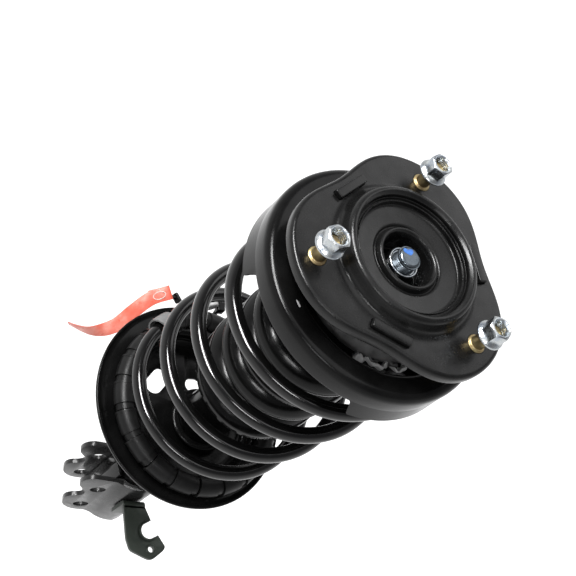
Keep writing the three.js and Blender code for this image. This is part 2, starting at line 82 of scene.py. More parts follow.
class Look:
    """Builds one procedural material and keeps it in LOOKS under its name."""

    def __init__(self, name):
        material = bpy.data.materials.new(name)
        material.use_nodes = True
        self.tree = material.node_tree
        self.shader = self.tree.nodes["Principled BSDF"]
        self.coordinates = self.tree.nodes.new("ShaderNodeTexCoord")
        LOOKS[name] = material

    def fill(self, node, **values):
        """Sets a node's inputs. An underscore stands for a space in an input's name."""
        for key, value in values.items():
            node.inputs[key.replace("_", " ")].default_value = value
        return node

    def node(self, kind, **values):
        return self.fill(self.tree.nodes.new(kind), **values)

    def link(self, source, target):
        self.tree.links.new(source, target)

    def set(self, **values):
        self.fill(self.shader, **values)

    def noise(self, scale, detail=4.0, roughness=0.55, stretch=(1, 1, 1)):
        """A noise in the object's own space; the scale is in cycles per metre."""
        mapping = self.node("ShaderNodeMapping", Scale=stretch)
        self.link(self.coordinates.outputs["Object"], mapping.inputs["Vector"])
        texture = self.node("ShaderNodeTexNoise", Scale=scale, Detail=detail, Roughness=roughness)
        self.link(mapping.outputs["Vector"], texture.inputs["Vector"])
        return texture.outputs["Fac"]

    def ramp(self, factor, *stops):
        """Maps a factor to colours, given as stops of (position, colour)."""
        ramp = self.node("ShaderNodeValToRGB")
        elements = ramp.color_ramp.elements
        while len(elements) < len(stops):
            elements.new(0.5)
        for element, (position, color) in zip(elements, stops):
            element.position = position
            element.color = (*color, 1)
        self.link(factor, ramp.inputs["Fac"])
        return ramp.outputs["Color"]

    def span(self, factor, low, high):
        """Maps the middle of a noise, 0.3 to 0.7, to a number from low to high."""
        node = self.node("ShaderNodeMapRange", From_Min=0.3, From_Max=0.7, To_Min=low, To_Max=high)
        self.link(factor, node.inputs["Value"])
        return node.outputs["Result"]

    def color(self, output):
        self.link(output, self.shader.inputs["Base Color"])

    def rough(self, output):
        self.link(output, self.shader.inputs["Roughness"])

    def bump(self, height, strength, distance):
        bump = self.node("ShaderNodeBump", Strength=strength, Distance=distance)
        self.link(height, bump.inputs["Height"])
        self.link(bump.outputs["Normal"], self.shader.inputs["Normal"])


def grey(value):
    return (value, value, value)


def paint(name, dark, light, rough_low, rough_high, shine, orange_peel=0.06, metallic=0.0):
    """Sprayed paint: faint cloudiness, uneven gloss and orange peel."""
    look = Look(name)
    look.set(Specular_IOR_Level=shine, IOR=1.5, Metallic=metallic)
    look.color(look.ramp(look.noise(38, 5), (0.35, dark), (0.75, light)))
    look.rough(look.span(look.noise(90, 6), rough_low, rough_high))
    look.bump(look.noise(900, 2), orange_peel, 0.0004)


def rubber(name, dark, light, rough_low, rough_high, grain=1400, strength=0.15, shine=0.25):
    """Rubber or plastic: a dull surface with a fine grain."""
    look = Look(name)
    look.set(IOR=1.47, Specular_IOR_Level=shine)
    look.color(look.ramp(look.noise(55, 6), (0.3, dark), (0.8, light)))
    look.rough(look.span(look.noise(130, 5), rough_low, rough_high))
    look.bump(look.noise(grain, 3), strength, 0.0003)


def plated(name, rough_low, rough_high, *stops):
    """Zinc or steel: metal with a faintly cloudy plating."""
    look = Look(name)
    look.set(Metallic=1.0)
    look.color(look.ramp(look.noise(140, 5, 0.6), *stops))
    look.rough(look.span(look.noise(322, 5), rough_low, rough_high))
    look.bump(look.noise(1500, 3), 0.05, 0.0002)


def translucent_film():
    """The tag's thin red plastic, with pale streaks along its length."""
    look = Look("red_film")
    look.set(IOR=1.45, Transmission_Weight=0.15)
    streak = look.noise(60, 5, 0.6, stretch=(1, 1, 0.35))
    look.color(look.ramp(
        streak, (0.34, (0.6, 0.09, 0.05)), (0.5, (0.64, 0.15, 0.105)), (0.7, (0.72, 0.34, 0.28))))
    look.rough(look.span(look.noise(220, 5), 0.25, 0.5))
    look.bump(look.noise(300, 4), 0.25, 0.0006)


def blue_dab():
    """The dab of blue paint on the end of the rod."""
    look = Look("paint_dab")
    look.color(look.ramp(look.noise(400), (0.3, (0.01, 0.06, 0.24)), (0.7, (0.025, 0.12, 0.38))))
    look.rough(look.span(look.noise(300), 0.3, 0.5))


# A paint or a rubber is given its darkest and lightest colour, then its lowest and highest roughness.
paint("satin_black", grey(0.002), grey(0.006), 0.2, 0.34, shine=0.26, orange_peel=0.1)
paint("gloss_black", grey(0.002), grey(0.005), 0.13, 0.24, shine=0.14)
paint("bracket_black", grey(0.014), grey(0.03), 0.24, 0.36, shine=0.34, orange_peel=0.1, metallic=0.3)
paint("spring_coat", grey(0.0015), grey(0.003), 0.1, 0.17, shine=0.5, orange_peel=0.03)
paint("olive_paint", (0.022, 0.028, 0.022), (0.04, 0.048, 0.04), 0.36, 0.5,
      shine=0.4, orange_peel=0.12, metallic=0.4)
rubber("rubber", grey(0.004), grey(0.01), 0.4, 0.55)
rubber("boot_plastic", grey(0.002), grey(0.005), 0.14, 0.26, grain=700, strength=0.06)
rubber("sleeve_plastic", grey(0.004), grey(0.009), 0.32, 0.46, grain=600, strength=0.12, shine=0.2)
rubber("sleeve_end", grey(0.1), grey(0.2), 0.4, 0.55, grain=600, strength=0.12)
rubber("foam", (0.03, 0.026, 0.02), (0.06, 0.052, 0.042), 0.85, 0.95, grain=500, strength=0.5)
plated("zinc", 0.2, 0.34,
       (0.3, (0.3, 0.34, 0.4)), (0.55, (0.5, 0.52, 0.52)), (0.75, (0.38, 0.42, 0.48)))
plated("gold_zinc", 0.32, 0.46,
       (0.3, (0.28, 0.2, 0.11)), (0.5, (0.4, 0.31, 0.16)), (0.72, (0.44, 0.38, 0.2)))
plated("bright_steel", 0.18, 0.3, (0.3, (0.42, 0.44, 0.46)), (0.7, (0.6, 0.62, 0.64)))
plated("dark_steel", 0.22, 0.36, (0.3, (0.07, 0.085, 0.1)), (0.7, (0.15, 0.17, 0.19)))
plated("oiled_steel", 0.35, 0.5, (0.3, grey(0.02)), (0.7, grey(0.05)))
plated("grey_metal", 0.35, 0.5, (0.3, (0.1, 0.1, 0.11)), (0.7, (0.2, 0.2, 0.21)))
rubber("grey_plastic", grey(0.3), grey(0.42), 0.4, 0.6)
rubber("seal_plastic", grey(0.02), grey(0.13), 0.4, 0.6, grain=240, strength=0.4)
translucent_film()
rubber("film_edge", (0.55, 0.4, 0.37), (0.66, 0.52, 0.48), 0.3, 0.45, grain=300, strength=0.05)
blue_dab()


def repaint_frame():
    """Gives the CAD pieces the look of their slot."""
    slots = {row["node"]: row["material_slot"] for row in frame["record"]["subparts"]}
    for name, obj in frame["nodes"].items():
        obj.data.materials.clear()
        obj.data.materials.append(LOOKS[slots[name]])


repaint_frame()


# ---------------- modelling helpers (millimetres)

def rounded(points, radius, closed=True, steps=4):
    """Rounds the corners of a profile. A point may carry its own radius as a third value."""
    count = len(points)
    result = []
    for i, point in enumerate(points):
        here = Vector(point[:2])
        reach = point[2] if len(point) > 2 else radius
        if not closed and i in (0, count - 1) or reach <= 0:
            result.append(tuple(here))
            continue
        before = Vector(points[i - 1][:2]) - here
        after = Vector(points[(i + 1) % count][:2]) - here
        a = here + before.normalized() * min(reach, before.length * 0.48)
        b = here + after.normalized() * min(reach, after.length * 0.48)
        for k in range(steps + 1):
            t = k / steps
            result.append(tuple(a * (1 - t) ** 2 + here * 2 * t * (1 - t) + b * t * t))
    return result


def rectangle(half_x, half_y, rounding, steps=4):
    """A rectangle about the origin with rounded corners."""
    corners = [(-half_x, -half_y), (half_x, -half_y), (half_x, half_y), (-half_x, half_y)]
    return rounded(corners, rounding, steps=steps)


def arc(radius, start, end, steps, centre=(0, 0)):
    """Points along a circular arc, with both of its ends."""
    angles = [start + (end - start) * i / steps for i in range(steps + 1)]
    return [(centre[0] + radius * math.cos(a), centre[1] + radius * math.sin(a)) for a in angles]


def circle(radius, sides, centre=(0, 0)):
    return arc(radius, 0, TURN, sides, centre)[:-1]


def clean(mesh, distance):
    """Welds points closer than the distance (in metres) and turns the faces outwards."""
    bm = bmesh.new()
    bm.from_mesh(mesh)
    bmesh.ops.remove_doubles(bm, verts=bm.verts, dist=distance)
    bmesh.ops.recalc_face_normals(bm, faces=bm.faces)
    bm.to_mesh(mesh)
    bm.free()


def as_object(name, data):
    obj = bpy.data.objects.new(name, data)
    bpy.context.collection.objects.link(obj)
    return obj


def mesh_object(name, vertices, faces):
    mesh = bpy.data.meshes.new(name)
    mesh.from_pydata([tuple(c * MM for c in v) for v in vertices], [], faces)
    clean(mesh, 1e-7)
    return as_object(name, mesh)


def lathe(name, profile, segments=128, warp=None, closed=True):
    """Turns a profile of (radius, z) about Z. warp(r, z, angle) may return another (r, z)."""
    vertices = []
    faces = []
    count = len(profile)
    for j in range(segments):
        angle = TURN * j / segments
        for r, z in profile:
            if warp:
                r, z = warp(r, z, angle)
            vertices.append((r * math.cos(angle), r * math.sin(angle), z))
    last = count if closed else count - 1
    last = count if closed else count - 1
    for j in range(segments):
        here = j * count
        there = ((j + 1) % segments) * count
        for i in range(last):
            k = (i + 1) % count
            faces.append((here + i, there + i, there + k, here + k))
    return mesh_object(name, vertices, faces)


def solid_lathe(name, profile, segments=64):
    """A profile that starts and ends on the axis."""
    return lathe(name, profile, segments, closed=False)


def skin(name, loops, caps=True):
    """A surface over closed loops of points, each joined to the next."""
    count = len(loops[0])
    faces = []
    for j in range(len(loops) - 1):
        here = j * count
        there = here + count
        for i in range(count):
            k = (i + 1) % count
            faces.append((here + i, here + k, there + k, there + i))
    if caps:
        end = (len(loops) - 1) * count
        faces.append(tuple(range(count - 1, -1, -1)))
        faces.append(tuple(range(end, end + count)))
    return mesh_object(name, [point for loop in loops for point in loop], faces)


def sweep(name, stations, section, caps=True):
    """Carries a closed section along stations of (middle, side, up)."""
    loops = [[middle + side * a + up * b for a, b in section] for middle, side, up in stations]
    return skin(name, loops, caps)


def evaluated(obj):
    """What an object shows, as a new mesh."""
    bpy.context.view_layer.update()
    return bpy.data.meshes.new_from_object(obj.evaluated_get(bpy.context.evaluated_depsgraph_get()))


def slab(name, loops, bottom, top, bevel=0.0):
    """A flat plate from one outline and its holes, with rounded edges."""
    data = bpy.data.curves.new(name, "CURVE")
    data.dimensions = "2D"
    data.fill_mode = "BOTH"
    for loop in loops:
        spline = data.splines.new("POLY")
        spline.points.add(len(loop) - 1)
        for point, (x, y) in zip(spline.points, loop):
            point.co = (x * MM, y * MM, 0, 1)
        spline.use_cyclic_u = True
    data.extrude = max(0.0, (top - bottom) / 2 - bevel) * MM
    data.bevel_depth = bevel * MM
    data.bevel_resolution = 2
    data.offset = -bevel * MM
    curve = as_object(name + "_curve", data)
    curve.location.z = (top + bottom) / 2 * MM
    mesh = evaluated(curve)
    mesh.transform(curve.matrix_world)
    bpy.data.objects.remove(curve)
    clean(mesh, 1e-6)
    mesh.name = name
    return as_object(name, mesh)


def settle(obj):
    """Applies the modifiers of a piece to its mesh."""
    mesh = evaluated(obj)
    obj.modifiers.clear()
    obj.data = mesh
    return obj


def combine(body, tools, operation):
    for tool in tools:
        modifier = body.modifiers.new("combine", "BOOLEAN")
        modifier.operation = operation
        modifier.solver = "EXACT"
        modifier.object = tool
    settle(body)
    for tool in tools:
        bpy.data.objects.remove(tool)
    return body


def cut(body, *tools):
    return combine(body, tools, "DIFFERENCE")


def common(body, *tools):
    return combine(body, tools, "INTERSECT")


def soften(obj, width, segments=2, angle=32):
    """Bevels the edges that are sharper than an angle in degrees."""
    modifier = obj.modifiers.new("soften", "BEVEL")
    modifier.width = width * MM
    modifier.segments = segments
    modifier.limit_method = "ANGLE"
    modifier.angle_limit = math.radians(angle)
    return settle(obj)


def place(obj, matrix):
    obj.data.transform(matrix)
    obj.data.update()
    return obj


def shift(x=0.0, y=0.0, z=0.0):
    return Matrix.Translation(Vector((x, y, z)) * MM)


def spin(degrees, axis="Z"):
    return Matrix.Rotation(math.radians(degrees), 4, axis)


def merged(name, *objects):
    """Puts several objects into one mesh."""
    bm = bmesh.new()
    for obj in objects:
        bm.from_mesh(obj.data)
        bpy.data.objects.remove(obj)
    mesh = bpy.data.meshes.new(name)
    bm.to_mesh(mesh)
    bm.free()
    return as_object(name, mesh)


def done(obj, slot, body, *nodes, look=None, sharp=38):
    """Shades a finished piece, gives it its material and hangs it on its body."""
    mesh = obj.data
    mesh.materials.clear()
    mesh.materials.append(LOOKS[look or slot])
    for polygon in mesh.polygons:
        polygon.use_smooth = True
        polygon.material_index = 0
    mesh.set_sharp_from_angle(angle=math.radians(sharp))
    if body:
        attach(obj, body)
    if nodes:
        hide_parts(*nodes)


# ---------------- top mount

STUD_CIRCLE = 70
STUD_ANGLES = (10.2, 133, 251.3)
STUD_HOLE = 6.9
STUD_RADIUS = 4.95
STUD_TOP = 20
NUT_BASES = (14, 13.4, 12.4)
NUT_TURNS = (12, 40, 22)
NUT_HEIGHT = 12.4
NUT_BORE = 5.3
TAB_ANGLES = (70, 189.5, 310.5)
TAB_MIDDLE = 59.7
BOSS_BORE = 43.4
SHEET = 2.8
GAP = 0.3
LOWER_TOP = -SHEET - GAP
LOWER_BOTTOM = LOWER_TOP - SHEET
RACE_TOP = -16.6
RACE_FOOT = -28.6

EDGE = 1000         # a profile radius of EDGE - n lies n in from the lobed outline
ROUNDING_EDGE = 87  # the radius that stands for EDGE while the profile's corners are rounded
LOBED_FROM = 66     # rounded points from here outwards belong to the lobed outline


def plate_edge(angle, inset):
    """Radius of the mount's outline, which has one lobe for each stud."""
    lobe = 3 * (angle - math.radians(STUD_ANGLES[0]))
    return 79 + 8.6 * math.cos(lobe) - 1.2 * math.cos(2 * lobe) - inset


def edge_warp(r, z, angle):
    """Puts the profile points that are counted from EDGE on the lobed outline."""
    if r > EDGE / 2:
        return plate_edge(angle, EDGE - r), z
    return r, z


def lobed_profile(points, rounding):
    """Rounds a profile whose outer points are counted from EDGE."""
    near = [(r if r < EDGE / 2 else r - EDGE + ROUNDING_EDGE, z, *rest) for r, z, *rest in points]
    smooth = rounded(near, rounding)
    return [(r if r < LOBED_FROM else r + EDGE - ROUNDING_EDGE, z) for r, z in smooth]


def at_angle(obj, radius, angle):
    return place(obj, spin(angle) @ shift(radius, 0, 0))


def stud_holes(bottom):
    """A drill for each stud, from a height up to just above the plates."""
    drill = [(0, bottom), (STUD_HOLE, bottom), (STUD_HOLE, 4), (0, 4)]
    return [at_angle(solid_lathe("hole", drill, 48), STUD_CIRCLE, angle) for angle in STUD_ANGLES]


def at_tabs(name, half_x, half_y, rounding, bottom, top, bevel=0.0):
    """The same rectangular slab at each of the three crimped tabs."""
    return [at_angle(slab(name, [rectangle(half_x, half_y, rounding)], bottom, top, bevel), TAB_MIDDLE, angle)
            for angle in TAB_ANGLES]


def top_plate():
    profile = lobed_profile([
        (EDGE - 3, -7.5, 0.4), (EDGE, -7.5, 0.6), (EDGE, 0, 3.4), (56.6, 0, 2.4), (52.4, 1.5, 3),
        (50.6, 7, 2), (49.6, 10.6, 2.6), (46.2, 12, 1.6), (44.6, 10.6, 1.2), (BOSS_BORE, 9.4, 1),
        (BOSS_BORE, -SHEET, 0.3), (EDGE - 3, -SHEET, 2.4),
    ], 1.0)
    plate = lathe("top_plate", profile, 216, edge_warp)
    cut(plate, *stud_holes(-6), *at_tabs("slot", 3.7, 14.9, 1.6, -6, 4))
    done(plate, "satin_black", "top_mount", "mount_top_plate")


def lower_plate():
    """The flat plate under the top one, with tabs that come up through its slots."""
    profile = lobed_profile([
        (44, LOWER_BOTTOM, 0.5), (EDGE - 6, LOWER_BOTTOM, 0.8), (EDGE - 6, LOWER_TOP, 0.8),
        (44, LOWER_TOP, 0.5)], 0.6)
    plate = lathe("lower_plate", profile, 216, edge_warp)
    cut(plate, *stud_holes(-12))
    tabs = at_tabs("tab", 3.2, 14.4, 1.2, LOWER_TOP - 1, 3.5, bevel=0.7)
    piece = merged("lower_plate", plate, *tabs)
    done(piece, "gloss_black", "top_mount", "mount_lower_plate", look="satin_black")


def mount_rubber():
    outer = BOSS_BORE - GAP
    grooves = [
        (outer, -12, 0.5), (outer, 7.4, 0.6), (42.6, 7.4, 0.5), (42.1, 5.4, 0.5), (41.4, 5.4, 0.4),
        (41, 6.4, 0.4), (40.4, 6.4, 0.4), (39.8, 3.2, 1.0), (38.6, 2.3, 1.2), (26, 0.9, 1.6), (25, -0.5, 1.0),
        (24.1, -0.5, 0.8), (23.5, 2.0, 1.0), (22.4, 3.8, 1.2), (20.9, 3.9, 1.2), (19.5, 2.5, 1.2),
        (18.5, -1, 1.2), (18.5, -16.4, 0.4), (22.5, -16.4, 0.2), (22.5, RACE_FOOT, 0.4), (30, RACE_FOOT, 1),
        (36, -17, 3),
    ]
    ring = lathe("mount_rubber_body", rounded(grooves, 1), 144)
    done(ring, "rubber", "top_mount", "mount_rubber", look="satin_black")


def thread_rod(radius, depth, pitch, bottom, top, sides=40):
    """A helical thread over a core, as loops from bottom to top that fade out over the last turn."""
    per_turn = 10
    rows = round((top - bottom) / pitch * per_turn)
    loops = []
    for i in range(rows + 1):
        z = bottom + (top - bottom) * i / rows
        fade = min(1.0, (top - z) / pitch, (z - bottom) / pitch + 0.001)
        loop = []
        for j in range(sides):
            phase = (z / pitch - j / sides) % 1.0
            rise = 1 - abs(2 * phase - 1)
            r = radius - depth * (1 - rise) * max(0.0, fade)
            angle = TURN * j / sides
            loop.append((r * math.cos(angle), r * math.sin(angle), z))
        loops.append(loop)
    return skin("thread", loops)


def studs():
    """Three press-in studs: a round head under the plates, a plain shank and an M10 thread."""
    head = LOWER_BOTTOM - GAP
    for i, angle in enumerate(STUD_ANGLES):
        shank = solid_lathe("shank", rounded([
            (0, head - 4), (9, head - 4, 0.8), (9, head, 0.4), (6.6, head, 0.2), (6.6, 0.5, 0.4),
            (STUD_RADIUS, 1.2, 0.6), (STUD_RADIUS, 9.2), (0, 9.2)], 0.3, closed=False), 56)
        thread = thread_rod(STUD_RADIUS, 0.45, 1.25, 9.1, STUD_TOP - 1.2)
        tip = solid_lathe("tip", [
            (0, STUD_TOP - 1.3), (4.4, STUD_TOP - 1.3), (4.3, STUD_TOP - 0.8), (3.6, STUD_TOP - 0.1),
            (0, STUD_TOP)], 40)
        piece = merged("stud_%d_body" % (i + 1), shank, thread, tip)
        at_angle(piece, STUD_CIRCLE, angle)
        done(piece, "gold_zinc", "top_mount", "stud_%d" % (i + 1))


def hexagon(across_flats):
    return circle(across_flats / math.sqrt(3), 6)


def flange_nut(name, bottom, tilt):
    """A hexagon nut on a flange, with the grooves of a thread in its bore."""
    top = bottom + NUT_HEIGHT
    flange = lathe("flange", rounded([
        (NUT_BORE, bottom, 0.2), (10.3, bottom, 0.5), (10.3, bottom + 1.4, 0.7), (7.9, bottom + 3.4, 1.4),
        (7.2, bottom + 3.6), (NUT_BORE, bottom + 3.6)], 0.4), 96)
    body = slab("hex", [hexagon(15)], bottom + 2, top + 1)
    cone = solid_lathe("cone", [
        (0, bottom + 1), (9.6, bottom + 1), (9.6, top - 2.7), (8.5, top - 1.1), (7.1, top - 0.2), (6.6, top),
        (0, top)], 96)
    common(body, cone)
    bore = solid_lathe("bore", [
        (0, bottom - 1), (NUT_BORE, bottom - 1), (NUT_BORE, top - 1.1), (6.3, top + 0.1), (6.3, top + 1),
        (0, top + 1)], 64)
    cut(body, bore)
    soften(body, 0.28, 2, 25)
    turns = []
    for k in range(5):
        z = bottom + 4.4 + 1.5 * k
        turns.append(lathe("turn", rounded([
            (NUT_BORE, z - 0.6), (5.42, z - 0.6), (5.42, z + 0.6), (NUT_BORE, z + 0.6), (5.05, z)],
            0.05), 48))
    return place(merged(name, flange, body, *turns), spin(tilt))


def nuts():
    for i, (angle, base, tilt) in enumerate(zip(STUD_ANGLES, NUT_BASES, NUT_TURNS)):
        piece = flange_nut("flange_nut_%d" % (i + 1), base, tilt)
        at_angle(piece, STUD_CIRCLE, angle)
        done(piece, "zinc", "nut_%d" % (i + 1), "stud_nut_%d" % (i + 1), sharp=30)


def ball(angle, centre_z):
    """One ball of the bearing, at an angle round its cage."""
    mesh = bpy.data.meshes.new("ball")
    bm = bmesh.new()
    bmesh.ops.create_uvsphere(bm, u_segments=20, v_segments=12, radius=2.6 * MM)
    bm.to_mesh(mesh)
    bm.free()
    return place(as_object("ball", mesh), spin(angle) @ shift(14.4, 0, centre_z))


def bearing():
    outer = lathe("race_outer_body", rounded([
        (17.3, RACE_FOOT, 0.6), (22.2, RACE_FOOT, 0.6), (22.2, -16.7, 0.8), (17.3, -16.7, 0.6),
        (17.3, -19.4, 0.5), (17.9, -22.65, 2), (17.3, -25.9, 0.5)], 0.5), 96)
    done(outer, "bright_steel", "top_mount", "bearing_outer_race", look="oiled_steel")
    inner = lathe("race_inner_body", rounded([
        (7.3, RACE_FOOT, 0.4), (11.5, RACE_FOOT, 0.6), (11.5, -25.6, 0.5), (11, -22.6, 2), (11.5, -19.6, 0.5),
        (11.5, RACE_TOP, 0.6), (7.3, RACE_TOP, 0.4)], 0.5), 96)
    done(inner, "bright_steel", "rod_and_seat", "bearing_inner_race", look="oiled_steel")
    cage = lathe("cage", rounded([(13.5, -23.5), (15.3, -23.5), (15.3, -21.8), (13.5, -21.8)], 0.3), 72)
    balls = [ball(40 * i, -22.65) for i in range(9)]
    done(merged("ball_cage_body", cage, *balls), "bright_steel", "ball_cage", "bearing_ball_cage")


def rod():
    """The piston rod, from the piston's seat to its threaded tip."""
    stem = solid_lathe("stem", rounded([
        (0, -284), (6, -284, 0.6), (6, -262, 0.3), (10, -260, 0.6), (10, -36, 0.8), (7, -36, 0.2), (7, -14.2),
        (8.3, -14.1), (8.3, -6), (0, -6)], 0.4, closed=False), 72)
    thread = thread_rod(8.4, 0.7, 1.5, -6.4, 3.4, 56)
    tip = solid_lathe("tip", rounded([
        (0, 3.3), (7.7, 3.3), (7.5, 4.2, 0.4), (6.3, 5, 0.5), (0, 5.05)], 0.2, closed=False), 48)
    piece = merged("rod_body", stem, thread, tip)
    done(piece, "bright_steel", "rod_and_seat", "piston_rod", look="dark_steel")


def dab_warp(r, z, angle):
    """Gives the dab of paint its uneven outline."""
    return r * (1 + 0.35 * math.cos(2 * angle) + 0.2 * math.cos(3 * angle + 1)), z


def paint_dab():
    dab = lathe("paint_dab", [(0.01, 5.1), (2.4, 5.12), (2.9, 5.08), (2.9, 5.02), (0.01, 5.0)], 20, dab_warp)
    place(dab, shift(1.2, -3.4, 0))
    done(dab, "bright_steel", "rod_and_seat", look="paint_dab")


def rod_nut():
    """The nut on the rod, with a foot below and a collar on top, and the washer under it."""
    bottom = -14
    top = -3.8
    body = slab("hex", [hexagon(21)], bottom, top + 1)
    cone = solid_lathe("cone", [
        (0, bottom - 2), (12.6, bottom - 2), (12.6, top - 2.6), (10.9, top - 0.8), (10.3, top), (0, top)], 96)
    common(body, cone)
    cut(body, solid_lathe("bore", [(0, -20), (8.6, -20), (8.6, 0), (0, 0)], 64))
    soften(body, 0.3, 2, 25)
    collar = lathe("nut_collar", rounded([
        (8.6, -4.4), (11, -4.4, 0.2), (11, -2.7, 0.6), (10, -2.5, 0.4), (9.3, -3.5, 0.3), (8.6, -3.5)],
        0.2), 72)
    foot = lathe("foot", rounded([
        (7.3, bottom), (12.2, bottom, 0.4), (12.2, bottom + 2, 0.8), (9, bottom + 2.6), (7.3, bottom + 2.6)],
        0.3), 72)
    done(merged("rod_nut_body", body, foot), "zinc", "rod_and_seat", "rod_nut", look="oiled_steel", sharp=30)
    done(collar, "zinc", "rod_and_seat", sharp=30)
    washer = lathe("rod_washer_body", rounded([
        (7.3, -16.3), (13, -16.3), (13, -14.35), (7.3, -14.35)], 0.4), 72)
    done(washer, "zinc", "rod_and_seat", "rod_washer", look="oiled_steel")


# ---------------- upper seat, seal and boot

SEAT_SLOT = (74.5, 25)
SKIRT_START = 74
SKIRT_SWEEP = 290
SKIRT_FADE = 5


def seat_skirt():
    """The deeper wall round most of the upper seat, shallower near both ends of its arc."""
    loops = []
    for span in range(SKIRT_SWEEP + 1):
        depth = min(1.0, span / SKIRT_FADE, (SKIRT_SWEEP - span) / SKIRT_FADE)
        ease = depth * depth * (3 - 2 * depth)
        rest = 1 - ease
        foot = -45.2 - 15.4 * ease
        wall = [
            (84.6, -41), (86.9, -41), (87.0, -45), (87.6 * ease + 86.9 * rest, foot + 1.2 - 1.4 * rest),
            (87.7 * ease + 86.6 * rest, foot + 0.2 - 0.6 * rest), (86.6 * ease + 85.6 * rest, foot - 0.1),
            (85.0, foot + 0.8)]
        angle = math.radians(SKIRT_START + span)
        loops.append([(r * math.cos(angle), r * math.sin(angle), z) for r, z in wall])
    return skin("skirt", loops)


def upper_seat():
    """The pressed upper seat with its small oval slot, and the rubber ring that the spring bears on."""
    under = -33.2 - 2.5
    dish = lathe("dish", rounded([
        (7.3, under), (26, under, 2), (36, -42.5, 3), (60, -42.5, 3), (65.5, -38, 3), (70.5, -30.3, 2.4),
        (81, -30.3, 3), (84.5, -33.6, 3), (84.5, -45.5, 0.6), (87, -45.5, 1.0), (87, -30.6, 4),
        (83, -27.2, 3.2), (72, -27, 2.6), (68.5, -28.6, 2), (63, -37.5, 2.6), (58.8, -40, 3), (37, -40, 3),
        (27, -33.2, 2), (7.3, -33.2)], 1.2), 160)
    cut(dish, at_angle(slab("slot", [rectangle(1.1, 3.2, 1)], -40, -20), *SEAT_SLOT))
    # A pale chip set inside the slot is a painted glint: it stands in for the light that shows through the
    # slot.
    slot_glint_chip = slab("seat_slot_glint", [rectangle(0.8, 2.6, 0.6)], -30, -27.6, 0.2)
    done(at_angle(slot_glint_chip, *SEAT_SLOT), "grey_plastic", "rod_and_seat")
    piece = merged("upper_seat_body", dish, seat_skirt())
    done(piece, "gloss_black", "rod_and_seat", "upper_spring_seat")
    insulator = lathe("insulator_body", rounded([
        (71.9, -34.2), (81.4, -34.2), (81.4, -30.7), (71.9, -30.7)], 1.1), 120)
    done(insulator, "rubber", "rod_and_seat", "upper_spring_insulator")


def seal_warp(r, z, angle):
    """The seal is lumpy: moulded ribs and a wandering edge."""
    lump = 0.9 * math.sin(17 * angle) + 0.7 * math.sin(29 * angle + 1.3)
    share = max(0.0, (r - 47) / 10)
    return r + 0.4 * lump * share, z + 0.6 * lump * share


def seal_fold(name, middle, phase, look):
    """A crumpled ribbon that shows between the mount and the upper seat, over a short arc."""
    steps = 120
    folds = []
    for i in range(steps + 1):
        t = i / steps
        a = math.radians(68 + 40 * t)
        r = middle + 2 * math.sin(17 * t + phase) + math.sin(41 * t + 1)
        lean = Vector((math.cos(a), math.sin(a), 0.5 * math.sin(13 * t + phase))).normalized()
        around = Vector((-math.sin(a), math.cos(a), 0))
        height = -40 + 1.6 * math.sin(12 * t + 2 - phase)
        here = Vector((r * math.cos(a), r * math.sin(a), height))
        folds.append((here, lean, lean.cross(around).normalized()))
    section = rounded([(-1.8, -5.5), (1.8, -5.5), (1.1, 5.5), (-1.1, 5.5)], 0.9, steps=3)
    done(sweep(name, folds, section), "grey_plastic", "rod_and_seat", look=look)


def dust_seal():
    """The bearing's dust seal, the two ribbons on it, and the spacer inside."""
    seal = lathe("dust_seal_body", rounded([
        (39, -39.3), (55.6, -39.3), (57.2, -34), (52, -27.7), (47.2, -25.8), (45.2, -28), (49.8, -33.2),
        (40, -36.8)], 1.2), 180, seal_warp)
    done(seal, "grey_plastic", "rod_and_seat", "bearing_dust_seal", look="seal_plastic")
    seal_fold("seal_fold", 59, 0, "grey_plastic")
    seal_fold("seal_fold_inner", 55.5, 2, "seal_plastic")
    spacer = lathe("spacer_body", rounded([(7.3, -32.9), (11, -32.9), (11, -28.9), (7.3, -28.9)], 0.5), 64)
    done(spacer, "grey_metal", "rod_and_seat", "seat_spacer")


BOOT_TOP = -43
BOOT_FIRST_FOLD = BOOT_TOP - 6.9
BOOT_PITCH = 24.857
BOOT_FOLDS = 6
BOOT_ROOT = 40.2
BOOT_SWELL = 10.9
BOOT_WALL = 1.6
BOOT_FOOT = -213


def boot_profile():
    """Rounded crests with a narrow root between them, then a straight castellated skirt."""
    outside = [(39.5, BOOT_TOP), (44, BOOT_TOP - 0.6)]
    steps = 18
    for fold in range(BOOT_FOLDS):
        for i in range(steps):
            t = i / steps
            swell = abs(math.sin(math.pi * t)) ** 0.75
            outside.append((BOOT_ROOT + BOOT_SWELL * swell, BOOT_FIRST_FOLD - BOOT_PITCH * (fold + t)))
    end = BOOT_FIRST_FOLD - BOOT_PITCH * BOOT_FOLDS
    outside += [(BOOT_ROOT, end), (43.5, end - 3.2), (49, end - 6.6), (49.4, end - 8)]
    outside += [(49.4, BOOT_FOOT + 1.6), (48.8, BOOT_FOOT)]
    inside = [(r - BOOT_WALL, z) for r, z in outside]
    return outside + inside[::-1]


def boot_warp(r, z, angle):
    """Faint parting marks of the mould on the folds, and notches round the foot."""
    if z < BOOT_FOOT + 1.1:
        return r, z + 2.2 * max(0.0, math.sin(16 * angle)) ** 0.4
    if r <= 42:
        return r, z
    mark = 0.0
    for seam in (0.6, 0.6 + math.pi):
        gap = math.atan2(math.sin(angle - seam), math.cos(angle - seam))
        mark += 0.5 * math.exp(-(gap / 0.012) ** 2)
    return r + mark, z


def dust_boot():
    boot = lathe("boot_body", boot_profile(), 192, boot_warp)
    done(boot, "boot_plastic", None, "dust_boot", sharp=60)
    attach(boot, "rod_and_seat")
    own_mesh(boot)


# ---------------- coil spring and its sleeves

